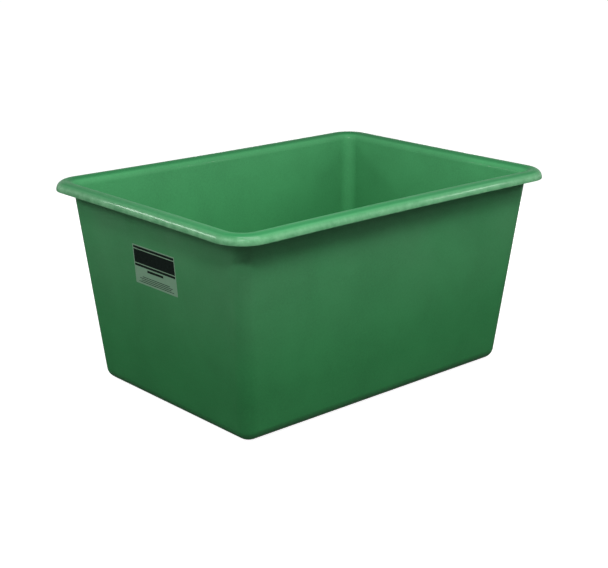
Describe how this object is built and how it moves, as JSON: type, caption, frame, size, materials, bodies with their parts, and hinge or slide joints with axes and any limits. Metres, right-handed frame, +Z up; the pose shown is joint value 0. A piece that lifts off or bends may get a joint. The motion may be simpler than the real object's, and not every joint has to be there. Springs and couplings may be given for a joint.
{
  "type": "mortar mixing tub",
  "caption": "Large open rectangular mixing tub with tapered walls, rounded corners and a rolled overhanging rim, and a printed sticker on one end wall.",
  "frame": {"origin": "centre of the base's underside, where the tub stands on the floor", "axes": "+Z up, +X along the tub's length; the labelled end wall faces -X"},
  "size_m": [1.41, 1.028, 0.7],
  "materials": {
    "grp_green": "satin green gelcoat on glass-fibre polyester",
    "label_film": "satin grey-green film",
    "label_ink": "matt black print"
  },
  "bodies": {
    "root": {"tub_shell": "grp_green", "label_film": "label_film", "label_band": "label_ink", "label_rules": "label_ink"}
  },
  "joints": []
}
